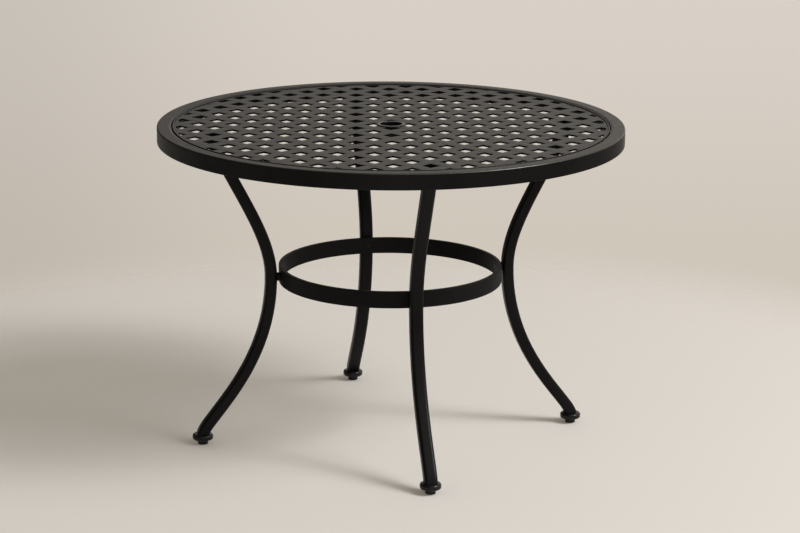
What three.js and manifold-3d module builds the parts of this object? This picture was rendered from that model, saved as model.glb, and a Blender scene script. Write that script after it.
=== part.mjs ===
// Round outdoor table with a lattice top, an umbrella hole, four curved legs and a stretcher ring.
// Millimetres, +Z up. The origin is on the floor under the centre of the top. Legs stand on +X, +Y, -X, -Y.
import * as THREE from 'three';
import { mergeGeometries, mergeVertices } from 'three/addons/utils/BufferGeometryUtils.js';
import Module from 'manifold-3d';

const wasm = await Module();
wasm.setup();

// Overall size
const tableDiameter = 1067;
const tableHeight = 740;
const clearance = 0.3; // gap kept between pieces that touch
const screwClearance = 0.3; // gap round a screw in its hole
const legCount = 4;
const overrun = 3; // cutting and joined bodies run this far past the face they meet

// Rim: a hollow band, open below, with a ledge inside that carries the panel
const rimHeight = 36;
const rimTopWidth = 32.5;
const rimWall = 2.5;
const rimOuterRound = 3;
const rimInnerRound = 1.5;
const ledgeWidth = 9;
const ledgeThickness = 2.5;

// Lattice panel, set into the rim
const panelGroove = 2; // open groove between rim and panel
const latticeDrop = 2.5; // from the rim's top down to the bars
const latticeThickness = 4;
const lipWidth = 4.5;
const lipDrop = 0.5; // from the rim's top down to the lip
const borderWidth = 4.5; // flat border between the lip and the holes
const holePitch = 80; // between holes of one row
const barWidth = 27.5;
const smallestOpening = 10; // a hole cut by the border is left out below this depth

// Umbrella ring, a plastic insert in the hole at the centre
const umbrellaBore = 50;
const insertWall = 3.3;
const insertFlangeWidth = 4.7; // reach of the flange past the sleeve
const insertFlangeThickness = 2.2;
const insertBevel = 1.6;
const insertSleeveLength = 26;
const hubDepth = 12; // boss below the lattice that holds the insert

// Legs: hollow bars of flat sides and rounded edges
const legWidth = 30;
const legDepth = 26.5;
const legWall = 2.5;
const legRound = 4.5;
const legSteps = 24;
const footInset = 92.5; // from the table's edge in to the foot's axis
const crossingInset = 70; // least distance from the ledge's edge in to the bar crossing over the leg
const crossingAlong = 2; // that crossing lies this many half pitches aside
const legTopShift = 8; // from the crossing out to the leg's top
const waistHeight = 391.5;
const footLean = 18.5; // degrees from upright where the leg meets the foot
const topLean = 26; // degrees from upright where the leg meets the top
const footSweep = 45; // lengths of the curve's handles
const lowerWaistSweep = 208;
const upperWaistSweep = 94;
const topSweep = 165;
const trimAllowance = 20; // the bar runs past both ends before it is cut level

// Leg plates and pads, hidden under a bar of the lattice
const plateWidth = 27;
const plateThickness = 5;
const plateRound = 6;
const plateMargin = 10; // from a bolt's axis to the plate's end
const padDepth = 8;
const boltGap = 2.5; // from the leg's side to the bolt heads
const boltDiameter = 6;
const boltHeadAcross = 10;
const boltHeadHeight = 4;
const boltReach = 8.5; // length of the bolt inside the pad

// Stretcher ring
const stretcherDiameter = 516;
const stretcherThickness = 10;
const stretcherHeight = 38;
const stretcherChamfer = 1;
const spacerGap = 8.5; // from the stretcher ring to the legs
const spacerDiameter = 20;
const stretcherScrewDiameter = 6;
const stretcherScrewHeadDiameter = 10.4;
const stretcherScrewHeadInset = 0.4;
const stretcherScrewTip = 1.2; // length past the nut
const nutAcross = 10;
const nutThickness = 5;
const nutGap = 0.6; // the leg's inner wall curves away from the nut

// Feet: a cap plugged into the leg, and a glide that screws in and out
const glidePadDiameter = 24;
const glidePadHeight = 8;
const glidePadRound = 2;
const glideSocketDepth = 4;
const stemDiameter = 8;
const stemLength = 26;
const stemEndGap = 1;
const footCapDiameter = 48;
const footCapHeight = 17;
const footCapBaseDiameter = 26;
const footCapConeRise = 3; // from the base up to the lower rounded edge
const footCapRound = 4;
const plugLength = 24; // plug inside the leg

// Panel screws, from below through the ledge
const panelScrewCount = 8;
const panelScrewDiameter = 4;
const panelScrewHeadDiameter = 7;
const panelScrewHeadHeight = 2.2;
const panelScrewReach = 2.6; // length inside the panel
const panelScrewInset = 3; // from the panel's edge to the screw's axis

// Roundness
const topSegments = 72;
const hubSegments = 32;
const footSegments = 20;
const screwSegments = 10;
const edgeSteps = 2; // flats in each rounded edge
const hexSides = 6;

// Worked out from the dimensions above
const rimRadius = tableDiameter / 2;
const rimInnerRadius = rimRadius - rimTopWidth;
const rimBottom = tableHeight - rimHeight;
const latticeTop = tableHeight - latticeDrop;
const latticeBottom = latticeTop - latticeThickness;
const ledgeTop = latticeBottom - clearance;
const ledgeBottom = ledgeTop - ledgeThickness;
const ledgeRadius = rimInnerRadius - ledgeWidth;
const panelRadius = rimInnerRadius - panelGroove;
const lipTop = tableHeight - lipDrop;
const lipInnerRadius = panelRadius - lipWidth;
const holesRadius = lipInnerRadius - borderWidth;
const halfPitch = holePitch / 2;
const holeSide = holePitch / Math.SQRT2 - barWidth;

const boreRadius = umbrellaBore / 2;
const sleeveRadius = boreRadius + insertWall;
const flangeRadius = sleeveRadius + insertFlangeWidth;
const flangeBottom = latticeTop + clearance;
const flangeTop = flangeBottom + insertFlangeThickness;
const hubBoreRadius = sleeveRadius + clearance;
const hubBottom = latticeBottom - hubDepth;

const footRadius = rimRadius - footInset;
const crossingAcross = 2 * Math.floor((ledgeRadius - crossingInset) / holePitch);
const crossingRadius = Math.hypot(crossingAcross, crossingAlong) * halfPitch;
const legTopRadius = crossingRadius + legTopShift;
const latticeTurn = -Math.atan2(crossingAlong, crossingAcross);
const plateTurn = latticeTurn - Math.PI / 4;
const boltHeadReach = boltHeadAcross / 2 / Math.cos(Math.PI / hexSides);
const boltOffset = (legWidth / 2 + boltGap + boltHeadReach) / Math.abs(Math.sin(plateTurn));
const plateLength = 2 * (boltOffset + plateMargin);
const padBottom = latticeBottom - padDepth;
const plateTop = padBottom - clearance;
const plateBottom = plateTop - plateThickness;
const legTop = plateBottom - clearance;
const footCapTop = glidePadHeight + footCapHeight;
const legBottom = footCapTop + clearance;

const stretcherRadius = stretcherDiameter / 2;
const stretcherInnerRadius = stretcherRadius - stretcherThickness;
const waistInnerFace = stretcherRadius + spacerGap;
const waistRadius = waistInnerFace + legDepth / 2;
const waistCavityFace = waistInnerFace + legWall;
const nutNearFace = waistCavityFace + nutGap;

const boltHole = boltDiameter / 2 + screwClearance;
const boltHeadTop = plateBottom - clearance;
const stretcherScrewHole = stretcherScrewDiameter / 2 + screwClearance;
const stemHole = stemDiameter / 2 + clearance;
const stemBottom = glidePadHeight - glideSocketDepth;
const stemTop = stemBottom + stemLength;
const panelScrewRadius = panelRadius - panelScrewInset;
const panelScrewHole = panelScrewDiameter / 2 + screwClearance;

// Materials
const frameCoat = { color: 0x1d1d1b, roughness: 0.55, metalness: 0.35 };
const latticeCoat = { color: 0x2b2b28, roughness: 0.6, metalness: 0.35 };
const blackPlastic = { color: 0x17151a, roughness: 0.45, metalness: 0 };
const darkSteel = { color: 0x3a3a3c, roughness: 0.4, metalness: 0.9 };

const table = new THREE.Group();

function addPiece(parent, name, geometry, look) {
  const mesh = new THREE.Mesh(geometry, new THREE.MeshStandardMaterial(look));
  mesh.name = name;
  parent.add(mesh);
  return mesh;
}

// A group turned about the table's axis, with its +X pointing outwards
function turnedGroup(angle) {
  const group = new THREE.Group();
  group.rotation.z = angle;
  table.add(group);
  return group;
}

// Vertices merged and collapsed triangles dropped, which leaves one closed surface
function weld(geometry) {
  const bare = geometry.clone();
  bare.deleteAttribute('normal');
  bare.deleteAttribute('uv');
  const merged = mergeVertices(bare);
  const kept = [];
  const index = merged.index.array;
  for (let i = 0; i < index.length; i += 3) {
    const [a, b, c] = index.slice(i, i + 3);
    if (a !== b && b !== c && c !== a) kept.push(a, b, c);
  }
  merged.setIndex(kept);
  return merged;
}

function toSolid(geometry) {
  const welded = weld(geometry);
  return new wasm.Manifold(new wasm.Mesh({
    numProp: 3,
    vertProperties: welded.attributes.position.array,
    triVerts: new Uint32Array(welded.index.array),
  }));
}

function toGeometry(solid) {
  const mesh = solid.getMesh();
  const geometry = new THREE.BufferGeometry();
  geometry.setAttribute('position', new THREE.BufferAttribute(mesh.vertProperties, 3));
  geometry.setIndex(new THREE.BufferAttribute(mesh.triVerts, 1));
  return geometry;
}

// A profile of [radius, height] pairs, listed anticlockwise, turned about Z
function turned(profile, segments) {
  const points = profile.map(([radius, height]) => new THREE.Vector2(radius, height));
  const geometry = new THREE.LatheGeometry(points, segments);
  geometry.rotateX(Math.PI / 2);
  return geometry;
}

// The same for a ring, whose profile closes on itself
function turnedRing(profile, segments) {
  return turned([...profile, profile[0]], segments);
}

// A round bar along Z between two heights
function rod(radius, low, high, segments) {
  return turned([[0, low], [radius, low], [radius, high], [0, high]], segments);
}

// The same with six flats
function hexBar(acrossFlats, low, high) {
  return rod(acrossFlats / 2 / Math.cos(Math.PI / hexSides), low, high, hexSides);
}

// A body modelled along Z, laid along X at the height of the waist
function layAtWaist(geometry) {
  return geometry.rotateY(Math.PI / 2).translate(0, 0, waistHeight);
}

// Turned about the table's axis to one of the legs
function turnToLeg(geometry, leg) {
  return geometry.rotateZ((leg / legCount) * 2 * Math.PI);
}

function roundedRectangle(width, depth, round) {
  const points = [];
  const corners = [[1, 1], [-1, 1], [-1, -1], [1, -1]];
  corners.forEach(([sideX, sideY], corner) => {
    for (let step = 0; step <= edgeSteps; step += 1) {
      const angle = (corner + step / edgeSteps) * (Math.PI / 2);
      points.push(new THREE.Vector2(
        sideX * (width / 2 - round) + round * Math.cos(angle),
        sideY * (depth / 2 - round) + round * Math.sin(angle),
      ));
    }
  });
  return points;
}

function rectangle(width, depth) {
  return [[1, 1], [-1, 1], [-1, -1], [1, -1]].map(
    ([sideX, sideY]) => new THREE.Vector2((sideX * width) / 2, (sideY * depth) / 2),
  );
}

// Points of a quarter round from a start direction on, as [radius, height] pairs
function quarterRound(centreRadius, centreHeight, round, startAngle) {
  const points = [];
  for (let step = 0; step <= edgeSteps; step += 1) {
    const angle = startAngle + (step / edgeSteps) * (Math.PI / 2);
    points.push([centreRadius + round * Math.cos(angle), centreHeight + round * Math.sin(angle)]);
  }
  return points;
}

// Rim
function makeRim() {
  const innerRoundRadius = rimInnerRadius + rimInnerRound;
  const profile = [
    [rimRadius, rimBottom],
    ...quarterRound(rimRadius - rimOuterRound, tableHeight - rimOuterRound, rimOuterRound, 0),
    ...quarterRound(innerRoundRadius, tableHeight - rimInnerRound, rimInnerRound, Math.PI / 2),
    [rimInnerRadius, ledgeTop],
    [ledgeRadius, ledgeTop],
    [ledgeRadius, ledgeBottom],
    [rimInnerRadius, ledgeBottom],
    [rimInnerRadius, rimBottom],
    [rimInnerRadius + rimWall, rimBottom],
    [rimInnerRadius + rimWall, tableHeight - rimWall],
    [rimRadius - rimWall, tableHeight - rimWall],
    [rimRadius - rimWall, rimBottom],
  ];
  const holes = panelScrewPlaces().map(([x, y]) => {
    const hole = rod(panelScrewHole, ledgeBottom - overrun, ledgeTop + overrun, screwSegments);
    return hole.translate(x, y, 0);
  });
  const ring = toSolid(turnedRing(profile, topSegments));
  return toGeometry(ring.subtract(toSolid(mergeGeometries(holes))));
}

function panelScrewPlaces() {
  const places = [];
  for (let i = 0; i < panelScrewCount; i += 1) {
    const angle = ((i + 0.5) / panelScrewCount) * 2 * Math.PI;
    places.push([panelScrewRadius * Math.cos(angle), panelScrewRadius * Math.sin(angle)]);
  }
  return places;
}

// Square holes turned by 45 degrees, in rows that are offset by half a pitch
function latticeHoles() {
  const prisms = [];
  const reach = Math.ceil(holesRadius / halfPitch);
  const halfDiagonal = holeSide / Math.SQRT2;
  for (let column = -reach; column <= reach; column += 1) {
    for (let row = -reach; row <= reach; row += 1) {
      const offset = Math.hypot(column, row) * halfPitch;
      const isHole = Math.abs(column + row) % 2 === 1;
      if (isHole && offset - halfDiagonal < holesRadius - smallestOpening) {
        const prism = new THREE.BoxGeometry(holeSide, holeSide, latticeThickness + 2 * overrun);
        prism.rotateZ(Math.PI / 4);
        prism.translate(column * halfPitch, row * halfPitch, (latticeTop + latticeBottom) / 2);
        prisms.push(prism);
      }
    }
  }
  return mergeGeometries(prisms).rotateZ(latticeTurn);
}

function makePanel() {
  const holeZone = rod(holesRadius, latticeBottom - overrun, latticeTop + overrun, topSegments);
  const hub = rod(flangeRadius, hubBottom, latticeTop, hubSegments);
  const lip = turnedRing([
    [lipInnerRadius, latticeBottom],
    [panelRadius, latticeBottom],
    [panelRadius, lipTop],
    [lipInnerRadius, lipTop],
  ], topSegments);
  let panel = toSolid(rod(panelRadius, latticeBottom, latticeTop, topSegments))
    .subtract(toSolid(latticeHoles()).intersect(toSolid(holeZone)))
    .add(toSolid(hub))
    .add(toSolid(lip));
  const bores = [rod(hubBoreRadius, hubBottom - overrun, latticeTop + overrun, hubSegments)];
  const boltBoreTop = padBottom + boltReach + screwClearance;
  for (let leg = 0; leg < legCount; leg += 1) {
    panel = panel.add(toSolid(turnToLeg(plateBlock(padBottom, latticeBottom + overrun), leg)));
    for (const [x, y] of boltPlaces()) {
      const bore = rod(boltHole, padBottom - overrun, boltBoreTop, screwSegments);
      bores.push(turnToLeg(bore.translate(x, y, 0), leg));
    }
  }
  const screwBoreTop = latticeBottom + panelScrewReach + screwClearance;
  for (const [x, y] of panelScrewPlaces()) {
    const bore = rod(panelScrewHole, latticeBottom - overrun, screwBoreTop, screwSegments);
    bores.push(bore.translate(x, y, 0));
  }
  return toGeometry(panel.subtract(toSolid(mergeGeometries(bores))));
}

// The block of a leg plate or pad, under a bar of the lattice on the +X leg
function plateBlock(low, high) {
  const outline = new THREE.Shape(roundedRectangle(plateLength, plateWidth, plateRound));
  const block = new THREE.ExtrudeGeometry(outline, { depth: high - low, bevelEnabled: false });
  return block.translate(0, 0, low).rotateZ(plateTurn).translate(crossingRadius, 0, 0);
}

function boltPlaces() {
  return [-1, 1].map((side) => [
    crossingRadius + side * boltOffset * Math.cos(plateTurn),
    side * boltOffset * Math.sin(plateTurn),
  ]);
}

function makePlate() {
  const holes = boltPlaces().map(([x, y]) => {
    const hole = rod(boltHole, plateBottom - overrun, plateTop + overrun, screwSegments);
    return hole.translate(x, y, 0);
  });
  const plate = toSolid(plateBlock(plateBottom, plateTop));
  return toGeometry(plate.subtract(toSolid(mergeGeometries(holes))));
}

function makeBolt() {
  const head = hexBar(boltHeadAcross, boltHeadTop - boltHeadHeight, boltHeadTop);
  const shank = rod(boltDiameter / 2, boltHeadTop - overrun, padBottom + boltReach, screwSegments);
  return toGeometry(toSolid(head).add(toSolid(shank)));
}

// Umbrella ring, standing in the hub with its flange on the lattice
function makeUmbrellaRing() {
  const sleeveBottom = flangeBottom - insertSleeveLength;
  return turnedRing([
    [boreRadius, sleeveBottom],
    [sleeveRadius, sleeveBottom],
    [sleeveRadius, flangeBottom],
    [flangeRadius, flangeBottom],
    [flangeRadius, flangeTop - insertBevel],
    [flangeRadius - insertBevel, flangeTop],
    [boreRadius + insertBevel, flangeTop],
    [boreRadius, flangeTop - insertBevel],
  ], hubSegments);
}

// The leg's centre line in the XZ plane, run on at both ends
function legPath() {
  const lower = THREE.MathUtils.degToRad(footLean);
  const upper = THREE.MathUtils.degToRad(topLean);
  const foot = new THREE.Vector3(footRadius, 0, legBottom);
  const waist = new THREE.Vector3(waistRadius, 0, waistHeight);
  const top = new THREE.Vector3(legTopRadius, 0, legTop);
  const footWay = new THREE.Vector3(-Math.sin(lower), 0, Math.cos(lower));
  const topWay = new THREE.Vector3(Math.sin(upper), 0, Math.cos(upper));
  const up = new THREE.Vector3(0, 0, 1);
  const path = new THREE.CurvePath();
  path.add(new THREE.LineCurve3(foot.clone().addScaledVector(footWay, -trimAllowance), foot));
  path.add(new THREE.CubicBezierCurve3(
    foot,
    foot.clone().addScaledVector(footWay, footSweep),
    waist.clone().addScaledVector(up, -lowerWaistSweep),
    waist,
  ));
  path.add(new THREE.CubicBezierCurve3(
    waist,
    waist.clone().addScaledVector(up, upperWaistSweep),
    top.clone().addScaledVector(topWay, -topSweep),
    top,
  ));
  path.add(new THREE.LineCurve3(top, top.clone().addScaledVector(topWay, trimAllowance)));
  return path;
}

// A bar swept along the leg's centre line and cut level at two heights
function legBar(outline, hollow, low, high) {
  const shape = new THREE.Shape(outline);
  if (hollow) shape.holes.push(new THREE.Path(hollow));
  const bar = new THREE.ExtrudeGeometry(shape, { steps: legSteps, extrudePath: legPath() });
  const span = new THREE.BoxGeometry(tableDiameter, tableDiameter, high - low);
  span.translate(rimRadius, 0, (low + high) / 2);
  return toSolid(bar).intersect(toSolid(span));
}

function makeLeg() {
  const outline = roundedRectangle(legWidth, legDepth, legRound);
  const hollow = rectangle(legWidth - 2 * legWall, legDepth - 2 * legWall);
  const bore = rod(stretcherScrewHole, waistInnerFace - overrun, waistCavityFace + overrun, screwSegments);
  const hole = layAtWaist(bore);
  return toGeometry(legBar(outline, hollow, legBottom, legTop).subtract(toSolid(hole)));
}

function makeStretcher() {
  const low = waistHeight - stretcherHeight / 2;
  const high = waistHeight + stretcherHeight / 2;
  let ring = toSolid(turnedRing([
    [stretcherInnerRadius, low],
    [stretcherRadius - stretcherChamfer, low],
    [stretcherRadius, low + stretcherChamfer],
    [stretcherRadius, high - stretcherChamfer],
    [stretcherRadius - stretcherChamfer, high],
    [stretcherInnerRadius, high],
  ], topSegments));
  const sinkRadius = stretcherScrewHeadDiameter / 2 + stretcherScrewHeadInset + screwClearance;
  for (let leg = 0; leg < legCount; leg += 1) {
    const sink = turned([
      [0, stretcherInnerRadius - overrun],
      [sinkRadius, stretcherInnerRadius - overrun],
      [sinkRadius, stretcherInnerRadius],
      [stretcherScrewHole, stretcherInnerRadius + sinkRadius - stretcherScrewHole],
      [stretcherScrewHole, stretcherRadius + overrun],
      [0, stretcherRadius + overrun],
    ], screwSegments);
    ring = ring.subtract(toSolid(turnToLeg(layAtWaist(sink), leg)));
  }
  return toGeometry(ring);
}

function makeSpacer() {
  const near = stretcherRadius + clearance;
  const far = waistInnerFace - clearance;
  const body = toSolid(rod(spacerDiameter / 2, near, far, footSegments));
  const hole = toSolid(rod(stretcherScrewHole, near - overrun, far + overrun, screwSegments));
  return layAtWaist(toGeometry(body.subtract(hole)));
}

function makeStretcherScrew() {
  const headRadius = stretcherScrewHeadDiameter / 2;
  const shankRadius = stretcherScrewDiameter / 2;
  const start = stretcherInnerRadius + stretcherScrewHeadInset;
  const end = nutNearFace + nutThickness + stretcherScrewTip;
  return layAtWaist(turned([
    [0, start],
    [headRadius, start],
    [shankRadius, start + headRadius - shankRadius],
    [shankRadius, end],
    [0, end],
  ], screwSegments));
}

function makeStretcherNut() {
  const nutFarFace = nutNearFace + nutThickness;
  const nut = toSolid(hexBar(nutAcross, nutNearFace, nutFarFace));
  const hole = toSolid(rod(stretcherScrewHole, nutNearFace - overrun, nutFarFace + overrun, screwSegments));
  return layAtWaist(toGeometry(nut.subtract(hole)));
}

// Foot cap: a bulged collar with a plug that follows the leg's hollow
function makeFootCap() {
  const roundRadius = footCapDiameter / 2 - footCapRound;
  const lowerRoundHeight = glidePadHeight + footCapConeRise + footCapRound;
  const collar = turned([
    [0, glidePadHeight],
    [footCapBaseDiameter / 2, glidePadHeight],
    ...quarterRound(roundRadius, lowerRoundHeight, footCapRound, -Math.PI / 2),
    ...quarterRound(roundRadius, footCapTop - footCapRound, footCapRound, 0),
    [0, footCapTop],
  ], footSegments).translate(footRadius, 0, 0);
  const plugOutline = rectangle(
    legWidth - 2 * legWall - 2 * clearance,
    legDepth - 2 * legWall - 2 * clearance,
  );
  const plug = legBar(plugOutline, null, footCapTop - overrun, legBottom + plugLength);
  const bore = rod(stemHole, glidePadHeight - overrun, stemTop + stemEndGap, screwSegments);
  return toGeometry(toSolid(collar).add(plug).subtract(toSolid(bore.translate(footRadius, 0, 0))));
}

function makeGlidePad() {
  const radius = glidePadDiameter / 2;
  const high = glidePadHeight - clearance;
  return turned([
    [0, 0],
    ...quarterRound(radius - glidePadRound, glidePadRound, glidePadRound, -Math.PI / 2),
    [radius, high],
    [stemHole, high],
    [stemHole, high - glideSocketDepth],
    [0, high - glideSocketDepth],
  ], footSegments).translate(footRadius, 0, 0);
}

function makeGlideStem() {
  return rod(stemDiameter / 2, stemBottom, stemTop, screwSegments).translate(footRadius, 0, 0);
}

function makePanelScrew() {
  const headTop = ledgeBottom - clearance;
  return turned([
    [0, headTop - panelScrewHeadHeight],
    [panelScrewHeadDiameter / 2, headTop - panelScrewHeadHeight],
    [panelScrewHeadDiameter / 2, headTop],
    [panelScrewDiameter / 2, headTop],
    [panelScrewDiameter / 2, latticeBottom + panelScrewReach],
    [0, latticeBottom + panelScrewReach],
  ], screwSegments);
}

addPiece(table, 'top_rim', makeRim(), frameCoat);
addPiece(table, 'lattice_panel', makePanel(), latticeCoat);
addPiece(table, 'umbrella_ring', makeUmbrellaRing(), blackPlastic);
addPiece(table, 'stretcher_ring', makeStretcher(), frameCoat);

const legPieces = [
  ['leg', makeLeg(), frameCoat],
  ['leg_plate', makePlate(), frameCoat],
  ['ring_spacer', makeSpacer(), frameCoat],
  ['ring_screw', makeStretcherScrew(), darkSteel],
  ['ring_nut', makeStretcherNut(), darkSteel],
  ['foot_cap', makeFootCap(), blackPlastic],
  ['glide_stem', makeGlideStem(), darkSteel],
  ['glide_pad', makeGlidePad(), blackPlastic],
];

for (let leg = 0; leg < legCount; leg += 1) {
  const side = turnedGroup((leg / legCount) * 2 * Math.PI);
  for (const [name, geometry, look] of legPieces) {
    addPiece(side, `${name}_${leg + 1}`, geometry, look);
  }
  boltPlaces().forEach(([x, y], i) => {
    addPiece(side, `leg_bolt_${leg + 1}${'ab'[i]}`, makeBolt(), darkSteel).position.set(x, y, 0);
  });
}

panelScrewPlaces().forEach(([x, y], i) => {
  addPiece(table, `panel_screw_${i + 1}`, makePanelScrew(), darkSteel).position.set(x, y, 0);
});

export default table;
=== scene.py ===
import math
import bpy
import bmesh
from mathutils import Matrix, Vector


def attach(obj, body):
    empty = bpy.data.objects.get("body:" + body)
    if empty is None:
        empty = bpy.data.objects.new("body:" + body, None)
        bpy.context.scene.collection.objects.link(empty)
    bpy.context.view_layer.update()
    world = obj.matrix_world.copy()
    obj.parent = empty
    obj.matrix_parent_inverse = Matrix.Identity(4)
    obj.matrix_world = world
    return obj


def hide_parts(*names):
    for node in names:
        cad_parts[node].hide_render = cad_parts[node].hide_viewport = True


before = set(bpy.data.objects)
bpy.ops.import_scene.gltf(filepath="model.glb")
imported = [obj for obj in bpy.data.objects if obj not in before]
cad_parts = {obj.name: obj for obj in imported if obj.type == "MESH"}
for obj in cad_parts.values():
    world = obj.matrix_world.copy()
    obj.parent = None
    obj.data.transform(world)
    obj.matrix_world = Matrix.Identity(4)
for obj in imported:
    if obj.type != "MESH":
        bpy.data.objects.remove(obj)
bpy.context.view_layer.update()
scene = bpy.context.scene

# Round outdoor table with a cast lattice top. Metres, floor at 0, legs on +X, +Y, -X and -Y.
tableTop = .740
legCount = 4
halfCell = .04  # half a cell of the lattice, from corner to corner
legCells = (5, 1)  # where the +X leg's crossing is, in cells of the lattice
topSizes = {  # shared by the rim, the panel and the screws between them
    "radius": .5335, "rimInner": .501, "ledgeInner": .492, "ledgeTop": .7332, "ledgeThickness": .0025,
    "latticeBottom": .7335, "latticeTop": .7375, "screwRing": .496, "screwHole": .0023, "screws": 8,
    "segments": 256,
}
legAxis = {  # radii and a height of the line along the middle of a leg
    "foot": .441, "waist": .27975, "waistHeight": .3915,
    "crossing": 2 * halfCell * math.hypot(*legCells), "topShift": .008,
}
latticeTurn = -math.atan2(legCells[1], legCells[0])
plateTurn = latticeTurn - math.radians(45)  # along a bar of the lattice, at the +X leg
layAtWaist = (Matrix.Translation((0, 0, legAxis["waistHeight"]))
              @ Matrix.Rotation(math.radians(90), 4, "Y"))
standAtFoot = Matrix.Translation((legAxis["foot"], 0, 0))


def placed(name, data):
    piece = bpy.data.objects.new(name, data)
    scene.collection.objects.link(piece)
    return piece


# Camera at the photograph's angle
cameraSizes = {
    "lens": 120.385, "sensor": 36, "shiftX": .00543, "shiftY": -.0061, "distance": 5.999,
    "height": 1.944, "turn": math.radians(-12), "yaw": -.0021, "pitch": .2496, "roll": .007,
}


def addCamera(sizes):
    data = bpy.data.cameras.new("photoCamera")
    data.lens, data.sensor_width = sizes["lens"], sizes["sensor"]
    data.shift_x, data.shift_y = sizes["shiftX"], sizes["shiftY"]
    camera = placed("photoCamera", data)
    stand = (Matrix.Rotation(sizes["turn"], 4, "Z")
             @ Matrix.Translation((0, -sizes["distance"], sizes["height"])))
    aim = (Matrix.Rotation(sizes["yaw"], 4, "Z")
           @ Matrix.Rotation(math.radians(90) - sizes["pitch"], 4, "X")
           @ Matrix.Rotation(sizes["roll"], 4, "Z"))
    camera.matrix_world = stand @ aim
    scene.camera = camera


addCamera(cameraSizes)
scene.view_settings.view_transform = "Standard"
print("camera set")


# Nodes, for shaders and Geometry Nodes alike: each input is given a value or another node's socket
def addNode(tree, kind, inputs=None, **settings):
    node = tree.nodes.new(kind)
    for setting, value in settings.items():
        setattr(node, setting, value)
    for socket, value in (inputs or {}).items():
        if isinstance(value, bpy.types.NodeSocket):
            tree.links.new(value, node.inputs[socket])
        else:
            node.inputs[socket].default_value = value
    return node


def maths(tree, operation, *values):
    return addNode(tree, "ShaderNodeMath", dict(enumerate(values)), operation=operation).outputs[0]


def vectorMaths(tree, operation, *values):
    node = addNode(tree, "ShaderNodeVectorMath", dict(enumerate(values)), operation=operation)
    return node.outputs["Value" if operation in ("LENGTH", "DISTANCE", "DOT_PRODUCT") else "Vector"]


def split(tree, vector):
    return addNode(tree, "ShaderNodeSeparateXYZ", {0: vector}).outputs


def joined(tree, **parts):
    return addNode(tree, "ShaderNodeCombineXYZ", parts).outputs[0]


# Runs from the first tone to the second while the value goes from low to high
def ramp(tree, value, low, high, first, second, kind="LINEAR"):
    return addNode(tree, "ShaderNodeMapRange", {0: value, 1: low, 2: high, 3: first, 4: second},
                   interpolation_type=kind).outputs[0]


def mixColours(tree, share, first, second):
    inputs = {0: share, 6: first, 7: second}
    return addNode(tree, "ShaderNodeMix", inputs, data_type="RGBA").outputs[2]


def noise(tree, place, scale, detail):
    inputs = {"Vector": place, "Scale": scale, "Detail": detail}
    return addNode(tree, "ShaderNodeTexNoise", inputs).outputs["Fac"]


def objectPlace(tree):
    return addNode(tree, "ShaderNodeTexCoord").outputs["Object"]


# How far the surface faces up, from -1 to 1
def facingUp(tree):
    return split(tree, addNode(tree, "ShaderNodeNewGeometry").outputs["Normal"])["Z"]


def newMaterial(name):
    material = bpy.data.materials.new(name)
    material.use_nodes = True
    tree = material.node_tree
    tree.nodes.clear()
    shader = addNode(tree, "ShaderNodeBsdfPrincipled")
    addNode(tree, "ShaderNodeOutputMaterial", {"Surface": shader.outputs["BSDF"]})
    return material, tree, shader


def feed(tree, shader, sources):
    for socket, source in sources.items():
        tree.links.new(source, shader.inputs[socket])


def toneOf(look, name):
    return tuple(look[name] * share for share in look["tint"]) + (1,)


# Colour, a sheen that varies with the grain, and a relief too fine to model
def dress(tree, shader, look, colour, grain, relief):
    bump = addNode(tree, "ShaderNodeBump", {
        "Height": relief, "Strength": look["reliefStrength"], "Distance": look["reliefHeight"]})
    feed(tree, shader, {
        "Base Color": colour, "Normal": bump.outputs[0],
        "Roughness": ramp(tree, grain, *look["grainSpan"], look["smoothest"], look["roughest"])})


# Coated or moulded black: slow drifts of tone, a grain in the sheen, and a fine skin on the surface
def blackFinish(name, look):
    material, tree, shader = newMaterial(name)
    place = objectPlace(tree)
    drift = ramp(tree, noise(tree, place, look["driftScale"], detail=4), *look["driftSpan"], 0, 1)
    clean = mixColours(tree, drift, toneOf(look, "dark"), toneOf(look, "pale"))
    grain = noise(tree, place, look["grainScale"], detail=3)
    # what faces up is paler in specks: a little dust, and on the lattice also painted sheen that
    # lightens the tops
    dustAndSheenShare = ramp(tree, facingUp(tree), look["dustFrom"], 1, 0, look["dust"])
    specks = ramp(tree, grain, *look["grainSpan"], *look["specks"])
    dustAndSheenColour = mixColours(tree, maths(tree, "MULTIPLY", dustAndSheenShare, specks), clean, toneOf(look, "dustTone"))
    shader.inputs["IOR"].default_value = look["gloss"]
    dress(tree, shader, look, dustAndSheenColour, grain, noise(tree, place, look["skinScale"], detail=2))
    return material


# The same coat with a painted highlight along an edge that goes round the table: a narrow metallic band
# of varying width
def edgeHighlightFinish(name, look, radius, height):
    material = blackFinish(name, look)
    tree = material.node_tree
    shader = tree.nodes["Principled BSDF"]
    coated = shader.inputs["Base Color"].links[0].from_socket
    place = objectPlace(tree)
    away = vectorMaths(tree, "LENGTH", vectorMaths(tree, "MULTIPLY", place, (1, 1, 0)))
    here = joined(tree, X=away, Z=split(tree, place)["Z"])
    patches = noise(tree, place, look["grainScale"], detail=3)
    width = ramp(tree, patches, *look["grainSpan"], look["rubbedLeast"], look["rubbedMost"])
    edgeHighlight = maths(tree, "LESS_THAN", vectorMaths(tree, "DISTANCE", here, (radius, 0, height)), width)
    withEdgeHighlight = mixColours(tree, edgeHighlight, coated, toneOf(look, "rubbedTone"))
    feed(tree, shader, {"Base Color": withEdgeHighlight, "Metallic": edgeHighlight})
    return material


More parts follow.
